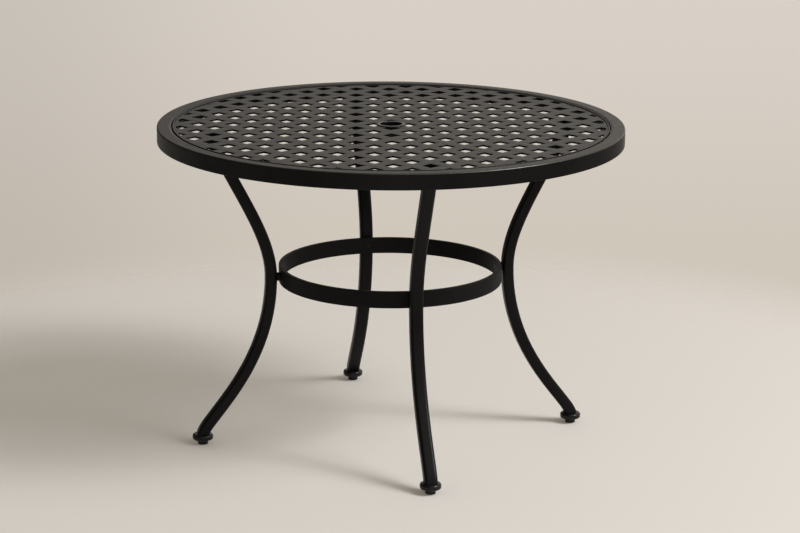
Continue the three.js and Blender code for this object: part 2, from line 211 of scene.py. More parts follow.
# Plated steel with fine lines from the lathe, and a duller film in places
def platedSteel(name, look):
    material, tree, shader = newMaterial(name)
    place = objectPlace(tree)
    film = noise(tree, place, look["grainScale"], detail=4)
    colour = mixColours(tree, film, toneOf(look, "dark"), toneOf(look, "pale"))
    stretched = addNode(tree, "ShaderNodeMapping", {"Vector": place, "Scale": look["lineScale"]})
    shader.inputs["Metallic"].default_value = 1
    dress(tree, shader, look, colour, film, noise(tree, stretched.outputs[0], 1, detail=2))
    return material


coatLook = {
    "dark": .003, "pale": .005, "tint": (1, .99, .95), "driftScale": 7, "driftSpan": (.35, .65),
    "grainScale": 160, "grainSpan": (.3, .7), "smoothest": .3, "roughest": .38, "gloss": 1.19,
    "skinScale": 900, "reliefStrength": .25, "reliefHeight": .0002,
    "dust": .008, "dustTone": .25, "dustFrom": .7, "specks": (.5, 1.5),
}
edgeHighlightLook = {"rubbedLeast": .0018, "rubbedMost": .0026, "rubbedTone": .06}
# On the lattice the paler specks on the tops are heavy: partly dust, partly painted sheen
latticeLook = {
    "tint": (1, .985, .93), "driftScale": 11, "smoothest": .42, "roughest": .55, "gloss": 1.26,
    "skinScale": 600, "reliefStrength": .4, "dust": .13,
}
mouldedLook = {
    "tint": (.93, .96, 1.08), "smoothest": .2, "roughest": .3, "gloss": 1.32,
    "skinScale": 1500, "reliefStrength": .12, "dust": .004,
}
steelLook = {
    "dark": .012, "pale": .03, "tint": (1, 1, 1.04), "grainScale": 90, "grainSpan": (.35, .7),
    "smoothest": .28, "roughest": .5, "lineScale": (300, 300, 2600),
    "reliefStrength": .3, "reliefHeight": .0001,
}
# Painted shade for the steep walls of the lattice's openings: a darker coat with a weaker reflection
shadedOpeningLook = {"dark": .001, "pale": .002, "gloss": 1.08, "dust": 0}
frameCoat = blackFinish("frameCoat", coatLook)
# The rim's outer top edge carries the painted highlight
rimCoat = edgeHighlightFinish("rimCoat", coatLook | edgeHighlightLook, topSizes["radius"], tableTop)
latticeCoat = blackFinish("latticeCoat", coatLook | latticeLook)
ringCoat = blackFinish("ringCoat", coatLook | {"smoothest": .5, "roughest": .6})
openingCoat = blackFinish("openingCoat", coatLook | shadedOpeningLook)
mouldedBlack = blackFinish("mouldedBlack", coatLook | mouldedLook)
darkSteel = platedSteel("darkSteel", steelLook)
print("finishes mixed")


# Mesh helpers
past = .003  # cutting tools run this far past what they cut
boreSides = 20
tiny = 1e-7


def newPiece(name, vertices, faces):
    mesh = bpy.data.meshes.new(name)
    mesh.from_pydata([tuple(v) for v in vertices], [], faces)
    return placed(name, mesh)


# A change to a piece's mesh, after which all its faces look outwards
def reworked(piece, change=None):
    work = bmesh.new()
    work.from_mesh(piece.data)
    if change:
        change(work)
    bmesh.ops.recalc_face_normals(work, faces=work.faces)
    work.to_mesh(piece.data)
    work.free()
    return piece


# Corners are (radius, height, rounding); each rounding is drawn with an arc
def roundCorners(corners, steps=6):
    points = []
    for i, (radius, height, rounding) in enumerate(corners):
        corner = Vector((radius, height))
        if not rounding:
            points.append(corner)
            continue
        back = (Vector(corners[i - 1][:2]) - corner).normalized()
        onward = (Vector(corners[(i + 1) % len(corners)][:2]) - corner).normalized()
        half = back.angle(onward) / 2
        centre = corner + (back + onward).normalized() * rounding / math.sin(half)
        start = corner + back * rounding / math.tan(half) - centre
        end = corner + onward * rounding / math.tan(half) - centre
        sweep = start.angle(end)
        for step in range(steps + 1):
            share = step / steps
            points.append(centre + (start * math.sin((1 - share) * sweep)
                                    + end * math.sin(share * sweep)) / math.sin(sweep))
    return points


# A closed profile turned about the upright axis; points on the axis close it
def lathe(name, corners, segments):
    vertices, rings, faces = [], [], []
    for radius, height in roundCorners(corners):
        onAxis, first = radius < tiny, len(vertices)
        rings.append([first] * segments if onAxis else list(range(first, first + segments)))
        for step in range(1 if onAxis else segments):
            angle = 2 * math.pi * step / segments
            vertices.append((radius * math.cos(angle), radius * math.sin(angle), height))
    for ring, following in zip(rings, rings[1:] + rings[:1]):
        for step in range(segments):
            after = (step + 1) % segments
            quad = [ring[step], ring[after], following[after], following[step]]
            face = [v for i, v in enumerate(quad) if v not in quad[:i]]
            if len(face) > 2:
                faces.append(face)
    return reworked(newPiece(name, vertices, faces))


def rod(name, radius, low, high, segments=24):
    return lathe(name, [(0, low, 0), (radius, low, 0), (radius, high, 0), (0, high, 0)], segments)


# An outline raised between two heights, with its rims softened
def prism(name, outline, low, high, soften=0):
    count = len(outline)
    vertices = [(x, y, low) for x, y in outline] + [(x, y, high) for x, y in outline]
    faces = [list(range(count)), list(range(count, 2 * count))]
    faces += [[i, (i + 1) % count, count + (i + 1) % count, count + i] for i in range(count)]

    def softenRims(work):
        rims = [e for e in work.edges if abs(e.verts[0].co.z - e.verts[1].co.z) < tiny]
        bmesh.ops.bevel(work, geom=rims, offset=soften, segments=2, affect="EDGES", profile=.5)

    return reworked(newPiece(name, vertices, faces), softenRims if soften else None)


def roundedRectangle(length, width, rounding):
    signs = ((1, 1), (-1, 1), (-1, -1), (1, -1))
    return roundCorners([(x * length / 2, y * width / 2, rounding) for x, y in signs])


def hexagon(acrossFlats):
    radius = acrossFlats / 2 / math.cos(math.pi / 6)
    return [(radius * math.cos(i * math.pi / 3), radius * math.sin(i * math.pi / 3)) for i in range(6)]


def moved(piece, matrix):
    piece.data.transform(matrix)
    return piece


# Several loose solids as one, for cutting with
def gathered(name, pieces):
    work = bmesh.new()
    for piece in pieces:
        work.from_mesh(piece.data)
        bpy.data.objects.remove(piece)
    mesh = bpy.data.meshes.new(name)
    work.to_mesh(mesh)
    work.free()
    return placed(name, mesh)


# Upright bores at several places, as one tool
def bores(radius, low, high, places):
    made = [moved(rod("bore", radius, low, high, boreSides), Matrix.Translation(at)) for at in places]
    return gathered("bores", made)


# The mesh that a piece's modifiers make of it
def madeMesh(piece, name):
    mesh = bpy.data.meshes.new_from_object(piece.evaluated_get(bpy.context.evaluated_depsgraph_get()))
    mesh.name = name
    return mesh


# Solids joined to a piece, cut out of it or kept in common with it, one after the other
def carve(piece, operation, *tools):
    for tool in tools:
        modifier = piece.modifiers.new("carving", "BOOLEAN")
        modifier.operation, modifier.object, modifier.solver = operation, tool, "MANIFOLD"
        mesh = madeMesh(piece, piece.name)
        piece.modifiers.clear()
        piece.data = mesh
        bpy.data.objects.remove(tool)
    return piece


# Rounded edges are smooth, real corners stay crisp, and large flats stay flat between them
def finish(piece, material, crispAngle=30):
    piece.data.materials.clear()
    piece.data.materials.append(material)
    for polygon in piece.data.polygons:
        polygon.material_index = 0
    piece.data.shade_smooth()
    piece.data.set_sharp_from_angle(angle=math.radians(crispAngle))
    even = piece.modifiers.new("evenShading", "WEIGHTED_NORMAL")
    even.keep_sharp = True
    return piece


# The +X leg's piece, whose name ends in 1, and its like at the other legs
def oneForEachLeg(first, material):
    pieces = [finish(first, material)]
    for i in range(1, legCount):
        name, mesh = first.name[:-1] + str(i + 1), first.data.copy()
        mesh.name = name
        turn = Matrix.Rotation(i * math.pi / 2, 4, "Z")
        pieces.append(finish(moved(placed(name, mesh), turn), material))
    return pieces


def hand(piece, body, slot, *nodes):
    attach(piece, body)
    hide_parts(*nodes)


# Geometry Nodes helpers
def geometry(tree, kind, inputs=None, **settings):
    return addNode(tree, "GeometryNode" + kind, inputs, **settings).outputs[0]


def instancesOf(tree, model):
    inputs = {"Object": model, "As Instance": True}
    return addNode(tree, "GeometryNodeObjectInfo", inputs).outputs["Geometry"]


# Every tree has the inputs listed by kind, and the material that its end gives to what it makes
def newTree(name, **inputs):
    tree = bpy.data.node_groups.new(name, "GeometryNodeTree")
    for kind, labels in (inputs | {"Material": ["Material"]}).items():
        for label in labels:
            tree.interface.new_socket(label, in_out="INPUT", socket_type="NodeSocket" + kind)
    tree.interface.new_socket("Geometry", in_out="OUTPUT", socket_type="NodeSocketGeometry")
    return tree, addNode(tree, "NodeGroupInput").outputs


def endTree(tree, given, made):
    real = geometry(tree, "RealizeInstances", {"Geometry": made})
    coated = geometry(tree, "SetMaterial", {"Geometry": real, "Material": given["Material"]})
    addNode(tree, "NodeGroupOutput", {"Geometry": coated})
    return tree


# The tree runs on an empty carrier, and its result is kept as a plain mesh
def grow(name, tree, values):
    carrier = newPiece("carrier", [], [])
    modifier = carrier.modifiers.new("growing", "NODES")
    modifier.node_group = tree
    for item in tree.interface.items_tree:
        if item.in_out == "INPUT":
            modifier[item.identifier] = values[item.name]
    mesh = madeMesh(carrier, name)
    bpy.data.objects.remove(carrier)
    return placed(name, mesh)


# A model set round the table's axis in even turns
def makeRoundTree():
    tree, given = newTree("roundTheTable", Object=["Model"], Int=["Count"], Float=["First Turn"])
    points = geometry(tree, "Points", {"Count": given["Count"]})
    share = maths(tree, "DIVIDE", geometry(tree, "InputIndex"), given["Count"])
    turn = maths(tree, "MULTIPLY_ADD", share, 2 * math.pi, given["First Turn"])
    copies = geometry(tree, "InstanceOnPoints", {
        "Points": points, "Instance": instancesOf(tree, given["Model"]),
        "Rotation": joined(tree, Z=turn)})
    return endTree(tree, given, copies)


roundTree = makeRoundTree()


def setRound(name, model, material, count=legCount, firstTurn=0.0):
    piece = grow(name, roundTree, {
        "Model": model, "Count": count, "First Turn": firstTurn, "Material": material})
    bpy.data.objects.remove(model)
    return piece


def finishedRound(name, model, material, *turns):
    return finish(setRound(name, model, material, *turns), material)


# A threaded bar: a cylinder whose side is drawn in along a helix
threadSizes = {"sides": 20, "rowsPerTurn": 6, "depthShare": .5}


def makeThreadTree(sizes):
    tree, given = newTree(
        "threadedBar", Float=["Radius", "Length", "Middle", "Pitch", "Depth"], Int=["Rows"])
    bar = geometry(tree, "MeshCylinder", {
        "Vertices": sizes["sides"], "Side Segments": given["Rows"],
        "Radius": given["Radius"], "Depth": given["Length"]})
    at = split(tree, geometry(tree, "InputPosition"))
    turns = maths(tree, "DIVIDE", maths(tree, "ARCTAN2", at["Y"], at["X"]), 2 * math.pi)
    rows = maths(tree, "DIVIDE", at["Z"], given["Pitch"])
    # from 0 on a crest to .5 in a groove, which is drawn in by the whole depth
    groove = maths(tree, "PINGPONG", maths(tree, "SUBTRACT", rows, turns), .5)
    drawn = maths(tree, "MULTIPLY", groove, given["Depth"])
    scale = maths(tree, "MULTIPLY", maths(tree, "DIVIDE", drawn, given["Radius"]), -2)
    inwards = addNode(tree, "ShaderNodeVectorMath", {
        0: joined(tree, X=at["X"], Y=at["Y"]), "Scale": scale}, operation="SCALE")
    cut = geometry(tree, "SetPosition", {"Geometry": bar, "Offset": inwards.outputs[0]})
    lift = joined(tree, Z=given["Middle"])
    lifted = geometry(tree, "Transform", {"Geometry": cut, "Translation": lift})
    return endTree(tree, given, lifted)


threadTree = makeThreadTree(threadSizes)


def threadedBar(name, radius, low, high, pitch):
    length = high - low
    return reworked(grow(name, threadTree, {
        "Radius": radius, "Length": length, "Middle": (low + high) / 2, "Pitch": pitch,
        "Depth": pitch * threadSizes["depthShare"],
        "Rows": round(length / pitch * threadSizes["rowsPerTurn"]), "Material": darkSteel}))


print("helpers ready")


# Rim: a hollow band, open below, with the ledge that carries the panel
rimSizes = {
    "bottom": .704, "wall": .0025, "outerRounding": .003, "lowerRounding": .0008,
    "easedWidth": .006, "easedDrop": .0016, "innerRounding": .0012,
}


def panelScrewBores(low, high):
    turns = [(i + .5) / topSizes["screws"] * 2 * math.pi for i in range(topSizes["screws"])]
    places = [Vector((math.cos(t), math.sin(t), 0)) * topSizes["screwRing"] for t in turns]
    return bores(topSizes["screwHole"], low, high, places)


def makeRim(sizes):
    outer, inner, ledgeInner = topSizes["radius"], topSizes["rimInner"], topSizes["ledgeInner"]
    ledgeTop, ledgeBottom = topSizes["ledgeTop"], topSizes["ledgeTop"] - topSizes["ledgeThickness"]
    bottom, wall, soft = sizes["bottom"], sizes["wall"], sizes["lowerRounding"]
    rim = lathe("rimBand", [
        (outer, bottom, soft), (outer, tableTop, sizes["outerRounding"]),
        (inner + sizes["easedWidth"], tableTop, 2 * sizes["innerRounding"]),
        (inner, tableTop - sizes["easedDrop"], sizes["innerRounding"]), (inner, ledgeTop, 0),
        (ledgeInner, ledgeTop, soft), (ledgeInner, ledgeBottom, soft), (inner, ledgeBottom, soft),
        (inner, bottom, soft), (inner + wall, bottom, soft), (inner + wall, tableTop - wall, soft),
        (outer - wall, tableTop - wall, 2 * soft), (outer - wall, bottom, soft),
    ], topSizes["segments"])
    carve(rim, "DIFFERENCE", panelScrewBores(ledgeBottom - past, ledgeTop + past))
    return finish(rim, rimCoat)


rimBand = makeRim(rimSizes)
print("rim turned", len(rimBand.data.polygons))


# Lattice panel: crossing bars that pass over and under each other, in a flat border with a raised lip
latticeSizes = {
    "pitch": halfCell * math.sqrt(2), "barWidth": .0275, "middle": .7376, "wave": .0003,
    "crown": .0002, "edgeWidth": .0013, "edgeDrop": .0004, "rows": 19, "reach": .53,
    "mergeDistance": .00002, "toolReach": .01,
    "zone": .4915, "borderInner": .490, "borderTop": .7379, "borderRounding": .0004,
    "innerRounding": .0006, "panelRadius": .499, "lipInner": .4945, "lipTop": .740, "lipRounding": .002,
    "smallestOpening": .010, "fillTop": .7372, "fillOverlap": .0005,
    "hubRadius": .033, "hubBottom": .7215, "hubRounding": .002, "hubTopRounding": .0004,
    "hubBore": .0286, "hubSegments": 96, "seatRadius": .0334, "screwDepth": .0029,
    "steep": .5, "crispAngle": 26,  # walls whose normal rises less than this are steep
}
plateSizes = {
    "length": .07594, "width": .027, "rounding": .006, "easing": .0006, "bottom": .7202, "top": .7252,
    "hole": .0033, "boltSpacing": .05594, "padBottom": .7255, "padBore": .7343, "padOverlap": .001,
}


# One crossing, its over-bar along X. Its open ends meet the next ones, which are turned by 90 degrees.
def makeCrossing(sizes):
    half, reach = sizes["barWidth"] / 2, sizes["pitch"] / 2
    edge, low, bottom = half - sizes["edgeWidth"], -sizes["edgeDrop"], topSizes["latticeBottom"]
    section = [(-half, low), (-edge, 0), (0, sizes["crown"]), (edge, 0), (half, low)]
    stations = [-reach, -half, -edge, 0, edge, half, reach]
    vertices, lookup, faces = [], {}, []

    def corner(x, y, z=bottom):
        key = tuple(round(value, 7) for value in (x, y, z))  # corners that meet are one
        if key not in lookup:
            lookup[key] = len(vertices)
            vertices.append((x, y, z))
        return lookup[key]

    def wave(along):
        return sizes["wave"] * math.cos(math.pi * along / sizes["pitch"])

    def over(x, y, drop=low):
        return corner(x, y, sizes["middle"] + wave(x) + drop)

    def under(x, y, drop=low):
        return corner(x, y, sizes["middle"] - wave(y) + drop)

    for x, nextX in zip(stations, stations[1:]):
        for (y, drop), (nextY, nextDrop) in zip(section, section[1:]):
            faces.append([over(x, y, drop), over(nextX, y, drop),
                          over(nextX, nextY, nextDrop), over(x, nextY, nextDrop)])
    for side in (1, -1):
        near, far = side * half, side * reach
        for (x, drop), (nextX, nextDrop) in zip(section, section[1:]):
            faces.append([under(x, near, drop), under(nextX, near, nextDrop),
                          under(nextX, far, nextDrop), under(x, far, drop)])
            faces.append([over(x, near), over(nextX, near),
                          under(nextX, near, nextDrop), under(x, near, drop)])
        for x, end in ((half, reach), (-half, -reach)):
            faces.append([over(x, near), over(end, near), corner(end, near),
                          corner(x, near), under(x, near)])
            faces.append([under(x, near), under(x, far), corner(x, far), corner(x, near)])
        faces.append([corner(near, -half), corner(far, -half), corner(far, half), corner(near, half)])
        faces.append([corner(-half, near), corner(-half, far), corner(half, far), corner(half, near)])
    faces.append([corner(x, y) for x, y in ((-half, -half), (half, -half), (half, half), (-half, half))])
    return newPiece("crossing", vertices, faces)


# Crossings on a square grid, every other one turned by 90 degrees
def makeLatticeTree():
    tree, given = newTree("crossingBars", Object=["Crossing"], Int=["Rows"],
                          Float=["Pitch", "Reach", "Turn", "Merge Distance"])
    size = maths(tree, "MULTIPLY", maths(tree, "SUBTRACT", given["Rows"], 1), given["Pitch"])
    grid = geometry(tree, "MeshGrid", {
        "Size X": size, "Size Y": size, "Vertices X": given["Rows"], "Vertices Y": given["Rows"]})
    index = geometry(tree, "InputIndex")
    column = maths(tree, "FLOOR", maths(tree, "DIVIDE", index, given["Rows"]))
    row = maths(tree, "MODULO", index, given["Rows"])
    odd = maths(tree, "MODULO", maths(tree, "ADD", column, row), 2)
    turn = maths(tree, "MULTIPLY", odd, math.pi / 2)
    away = vectorMaths(tree, "LENGTH", geometry(tree, "InputPosition"))
    wanted = addNode(tree, "FunctionNodeCompare", {0: away, 1: given["Reach"]}, operation="LESS_THAN")
    copies = geometry(tree, "InstanceOnPoints", {
        "Points": grid, "Selection": wanted.outputs[0],
        "Instance": instancesOf(tree, given["Crossing"]), "Rotation": joined(tree, Z=turn)})
    real = geometry(tree, "RealizeInstances", {"Geometry": copies})
    merged = geometry(tree, "MergeByDistance", {"Geometry": real, "Distance": given["Merge Distance"]})
    heading = joined(tree, Z=given["Turn"])
    turned = geometry(tree, "Transform", {"Geometry": merged, "Rotation": heading})
    return endTree(tree, given, turned)


def closeEnds(work):
    bmesh.ops.holes_fill(work, edges=[e for e in work.edges if e.is_boundary], sides=0)


# Openings that the border would cut down to slivers are cast shut
def sliverPlates(sizes):
    opening = sizes["pitch"] - sizes["barWidth"]
    halfDiagonal = opening / math.sqrt(2)
    side = opening / 2 + sizes["fillOverlap"]
    square = [(side, side), (-side, side), (-side, -side), (side, -side)]
    turn, eighth = Matrix.Rotation(latticeTurn, 4, "Z"), Matrix.Rotation(math.pi / 4, 4, "Z")
    reach = math.ceil(sizes["zone"] / halfCell)
    plates = []
    for column in range(-reach, reach + 1):
        for row in range(-reach, reach + 1):
            away = math.hypot(column, row) * halfCell - halfDiagonal
            sliver = sizes["borderInner"] - sizes["smallestOpening"] <= away < sizes["zone"]
            if (column + row) % 2 and sliver:
                plate = prism("plate", square, topSizes["latticeBottom"], sizes["fillTop"])
                place = Matrix.Translation((column * halfCell, row * halfCell, 0))
                plates.append(moved(plate, turn @ place @ eighth))
    return gathered("sliverPlates", plates)


# The +X leg's plate, or the pad above it
def plateAtLeg(low, high, soften=0):
    outline = roundedRectangle(plateSizes["length"], plateSizes["width"], plateSizes["rounding"])
    place = Matrix.Translation((legAxis["crossing"], 0, 0)) @ Matrix.Rotation(plateTurn, 4, "Z")
    return moved(prism("plate", outline, low, high, soften), place)


def boltPlaces():
    along = Vector((math.cos(plateTurn), math.sin(plateTurn), 0)) * plateSizes["boltSpacing"] / 2
    return [Vector((legAxis["crossing"], 0, 0)) + side * along for side in (-1, 1)]


def makePanel(sizes):
    bottom, top, segments = topSizes["latticeBottom"], topSizes["latticeTop"], topSizes["segments"]
    crossing = makeCrossing(sizes)
    panel = grow("latticePanel", makeLatticeTree(), {
        "Crossing": crossing, "Pitch": sizes["pitch"], "Rows": sizes["rows"], "Reach": sizes["reach"],
        "Turn": latticeTurn + math.radians(45), "Merge Distance": sizes["mergeDistance"],
        "Material": latticeCoat})
    bpy.data.objects.remove(crossing)
    reworked(panel, closeEnds)
    carve(panel, "UNION", sliverPlates(sizes))
    above = top + sizes["toolReach"]
    carve(panel, "INTERSECT", rod("zone", sizes["zone"], bottom - sizes["toolReach"], above, segments))
    inner, outer, lipInner = sizes["borderInner"], sizes["panelRadius"], sizes["lipInner"]
    borderTop, lipTop, lip = sizes["borderTop"], sizes["lipTop"], sizes["lipRounding"]
    border = lathe("border", [
        (inner, bottom, 0), (outer, bottom, sizes["borderRounding"]), (outer, lipTop, lip),
        (lipInner, lipTop, lip), (lipInner, borderTop, 0), (inner, borderTop, sizes["innerRounding"]),
    ], segments)
    hubBottom, hubRadius, hubSegments = sizes["hubBottom"], sizes["hubRadius"], sizes["hubSegments"]
    hub = lathe("hub", [
        (0, hubBottom, 0), (hubRadius, hubBottom, sizes["hubRounding"]),
        (hubRadius, top, sizes["hubTopRounding"]), (0, top, 0)], hubSegments)
    pad = plateAtLeg(plateSizes["padBottom"], bottom + plateSizes["padOverlap"])
    carve(panel, "UNION", border, hub, setRound("pads", pad, latticeCoat))
    padLow, padHigh = plateSizes["padBottom"] - past, plateSizes["padBore"]
    padBores = bores(plateSizes["hole"], padLow, padHigh, boltPlaces())
    hubBore = rod("hubBore", sizes["hubBore"], hubBottom - sizes["toolReach"], above, hubSegments)
    carve(panel, "DIFFERENCE", setRound("padBores", padBores, latticeCoat), hubBore,
          rod("seat", sizes["seatRadius"], top, above, hubSegments),
          panelScrewBores(bottom - past, bottom + sizes["screwDepth"]))
    finish(panel, latticeCoat, sizes["crispAngle"])
    # painted shade: the steep walls of the openings get a darker coat with a weaker reflection
    panel.data.materials.append(openingCoat)
    for polygon in panel.data.polygons:
        polygon.material_index = 1 if abs(polygon.normal.z) < sizes["steep"] else 0
    return panel


latticePanel = makePanel(latticeSizes)
print("lattice cast", len(latticePanel.data.polygons))


# Umbrella ring: a flanged sleeve whose lower half is slit into fingers
insertSizes = {
    "bore": .025, "sleeve": .0283, "flange": .033, "bottom": .7118, "flangeBottom": .7378,
    "rimHeight": .7393, "crestOuter": .0322, "crestInner": .0262,
    "boreRounding": .0005, "tipRounding": .0009, "flangeRounding": .0003, "rimRounding": .0006,
    "crestRounding": .0012, "mouthRounding": .001, "segments": 128,
    "slitWidth": .0022, "slitTop": .7265, "slitStart": .02, "slits": 4,
    "slitPast": (.005, .002),  # how far the cutter goes outwards and downwards past the sleeve
}


def makeInsert(sizes):
    bore, sleeve, flange, crest = sizes["bore"], sizes["sleeve"], sizes["flange"], sizes["crestRounding"]
    bottom, flangeBottom, rimHeight = sizes["bottom"], sizes["flangeBottom"], sizes["rimHeight"]
    insert = lathe("umbrellaInsert", [
        (bore, bottom, sizes["boreRounding"]), (sleeve, bottom, sizes["tipRounding"]),
        (sleeve, flangeBottom, 0), (flange, flangeBottom, sizes["flangeRounding"]),
        (flange, rimHeight, sizes["rimRounding"]), (sizes["crestOuter"], tableTop, crest),
        (sizes["crestInner"], tableTop, crest), (bore, rimHeight, sizes["mouthRounding"]),
    ], sizes["segments"])
    outwards, downwards = sizes["slitPast"]
    start, reach, half = sizes["slitStart"], sleeve + outwards, sizes["slitWidth"] / 2
    slit = prism("slit", [(reach, half), (start, half), (start, -half), (reach, -half)],
                 bottom - downwards, sizes["slitTop"])
    carve(insert, "DIFFERENCE", setRound("slits", slit, mouldedBlack, sizes["slits"], math.pi / 4))
    return finish(insert, mouldedBlack)


umbrellaInsert = makeInsert(insertSizes)
print("umbrella ring moulded")


# Legs: a flat-sided tube along a curve, narrow at the waist and splayed at the foot
legSizes = {
    "width": .030, "depth": .0265, "wall": .0025, "rounding": .0075, "innerRounding": .005,
    "low": .0253, "high": .7199, "footLean": math.radians(18.5), "topLean": math.radians(26),
    "footSweep": .045, "lowerWaistSweep": .208, "upperWaistSweep": .094, "topSweep": .165,
    "overrun": .02, "endSweep": .005, "curveSteps": 44, "screwHole": .0033, "hollowPast": .002,
}
barSizes = {"roundingSteps": 6, "blockWidth": 2}


def makeLegCurve(sizes):
    footLean, topLean, small = sizes["footLean"], sizes["topLean"], sizes["endSweep"]
    foot = Vector((legAxis["foot"], 0, sizes["low"]))
    waist = Vector((legAxis["waist"], 0, legAxis["waistHeight"]))
    top = Vector((legAxis["crossing"] + legAxis["topShift"], 0, sizes["high"]))
    up = Vector((0, 0, 1))
    footWay = Vector((-math.sin(footLean), 0, math.cos(footLean)))
    topWay = Vector((math.sin(topLean), 0, math.cos(topLean)))
    points = [  # place, way of the curve there, and its handles' lengths before and after
        (foot - footWay * sizes["overrun"], footWay, small, small),
        (foot, footWay, small, sizes["footSweep"]),
        (waist, up, sizes["lowerWaistSweep"], sizes["upperWaistSweep"]),
        (top, topWay, sizes["topSweep"], small),
        (top + topWay * sizes["overrun"], topWay, small, small),
    ]
    data = bpy.data.curves.new("legCurve", "CURVE")
    data.dimensions, data.resolution_u = "3D", sizes["curveSteps"]
    spline = data.splines.new("BEZIER")
    spline.bezier_points.add(len(points) - 1)
    for point, (place, way, before, after) in zip(spline.bezier_points, points):
        point.handle_left_type = point.handle_right_type = "FREE"
        point.co = place
        point.handle_left, point.handle_right = place - way * before, place + way * after
    return placed("legCurve", data)


# A bar of rounded section swept along a curve and cut level at two heights
def makeBarTree(sizes):
    tree, given = newTree(
        "sweptBar", Object=["Path"], Float=["Width", "Depth", "Rounding", "Low", "High"])
    path = addNode(tree, "GeometryNodeObjectInfo", {"Object": given["Path"]})
    outline = geometry(tree, "CurvePrimitiveQuadrilateral", {
        "Width": given["Width"], "Height": given["Depth"]})
    rounded = geometry(tree, "FilletCurve", {
        "Curve": outline, "Count": sizes["roundingSteps"], "Radius": given["Rounding"]}, mode="POLY")
    bar = geometry(tree, "CurveToMesh", {
        "Curve": path.outputs["Geometry"], "Profile Curve": rounded, "Fill Caps": True})
    height = maths(tree, "SUBTRACT", given["High"], given["Low"])
    middle = maths(tree, "DIVIDE", maths(tree, "ADD", given["High"], given["Low"]), 2)
    block = geometry(tree, "MeshCube", {
        "Size": joined(tree, X=sizes["blockWidth"], Y=sizes["blockWidth"], Z=height)})
    span = geometry(tree, "Transform", {"Geometry": block, "Translation": joined(tree, Z=middle)})
    level = addNode(tree, "GeometryNodeMeshBoolean", operation="INTERSECT", solver="MANIFOLD")
    for part in (bar, span):
        tree.links.new(part, level.inputs["Mesh 2"])
    return endTree(tree, given, level.outputs["Mesh"])


legCurve = makeLegCurve(legSizes)
barTree = makeBarTree(barSizes)


def sweptBar(name, width, depth, rounding, low, high, material):
    return grow(name, barTree, {
        "Path": legCurve, "Width": width, "Depth": depth, "Rounding": rounding, "Low": low, "High": high,
        "Material": material})


def makeLeg(sizes):
    width, depth, wall = sizes["width"], sizes["depth"], sizes["wall"]
    low, high, beyond = sizes["low"], sizes["high"], sizes["hollowPast"]
    leg = sweptBar("legTube1", width, depth, sizes["rounding"], low, high, frameCoat)
    hollow = sweptBar("hollow", width - 2 * wall, depth - 2 * wall, sizes["innerRounding"],
                      low - beyond, high + beyond, frameCoat)
    innerFace = legAxis["waist"] - depth / 2
    hole = rod("hole", sizes["screwHole"], innerFace - past, innerFace + wall + past)
    return carve(leg, "DIFFERENCE", hollow, moved(hole, layAtWaist))


legTubes = oneForEachLeg(makeLeg(legSizes), frameCoat)
print("legs bent", len(legTubes[0].data.polygons))


# A turned head on a short shank, the thread that goes on from it, and a hexagon socket
def makeScrew(sizes, start, headCorners, neck):
    shank, shankEnd = sizes["radius"] - sizes["shankGap"], neck + sizes["shank"]
    corners = [(0, start, 0), *headCorners, (shank, neck, 0), (shank, shankEnd, 0), (0, shankEnd, 0)]
    screw = lathe("screw", corners, sizes["segments"])
    low = neck + sizes["shank"] / 2
    carve(screw, "UNION", threadedBar("thread", sizes["radius"], low, sizes["end"], sizes["pitch"]))
    socket = prism("socket", hexagon(sizes["socket"]), start - sizes["socketPast"],
                   start + sizes["socketDepth"])
    return carve(screw, "DIFFERENCE", socket)


# A hexagon between two heights with its corners turned off
def turnedHexagon(across, low, high, corners, segments):
    return carve(prism("hexagon", hexagon(across), low, high), "INTERSECT",
                 lathe("crown", corners, segments))


# Stretcher ring between the waists, with its spacers, screws and nuts along the +X leg's screw
stretcherSizes = {
    "outer": .258, "inner": .248, "height": .038, "rounding": .0016, "segments": 192,
    "sinkRadius": .0059, "sinkSegments": 40, "hole": .0033,
}
spacerSizes = {
    "near": .2583, "far": .2662, "radius": .010, "rounding": .0008, "holeRounding": .0003,
    "segments": 48,
}
ringScrewSizes = {
    "head": .0052, "headRounding": .0002, "start": .2484, "radius": .003, "end": .2758, "pitch": .001,
    "shank": .004, "shankGap": .0002, "socket": .0035, "socketDepth": .0015, "socketPast": .001,
    "segments": 40,
}
nutSizes = {
    "near": .2696, "far": .2746, "across": .010, "widestShare": .6, "easing": .0008, "segments": 48,
}


def makeStretcher(sizes):
    inner, outer, hole = sizes["inner"], sizes["outer"], sizes["hole"]
    low, high = [legAxis["waistHeight"] + side * sizes["height"] / 2 for side in (-1, 1)]
    ring = lathe("stretcherBand", [
        (radius, height, sizes["rounding"])
        for radius, height in ((inner, low), (outer, low), (outer, high), (inner, high))
    ], sizes["segments"])
    sink = lathe("sink", [
        (0, inner - past, 0), (sizes["sinkRadius"] + past, inner - past, 0),
        (hole, inner + sizes["sinkRadius"] - hole, 0), (hole, outer + past, 0), (0, outer + past, 0),
    ], sizes["sinkSegments"])
    carve(ring, "DIFFERENCE", setRound("sinks", moved(sink, layAtWaist), frameCoat))
    return finish(ring, ringCoat)


def makeSpacers(sizes):
    hole, near, far = stretcherSizes["hole"], sizes["near"], sizes["far"]
    spacer = lathe("spacer", [
        (hole, near, sizes["holeRounding"]), (sizes["radius"], near, sizes["rounding"]),
        (sizes["radius"], far, sizes["rounding"]), (hole, far, sizes["holeRounding"]),
    ], sizes["segments"])
    return finishedRound("ringSpacers", moved(spacer, layAtWaist), frameCoat)


def makeRingScrews(sizes):
    start, head = sizes["start"], sizes["head"]
    neck = start + head - sizes["radius"]
    screw = makeScrew(sizes, start, [(head, start, sizes["headRounding"])], neck)
    return finishedRound("ringScrews", moved(screw, layAtWaist), darkSteel)


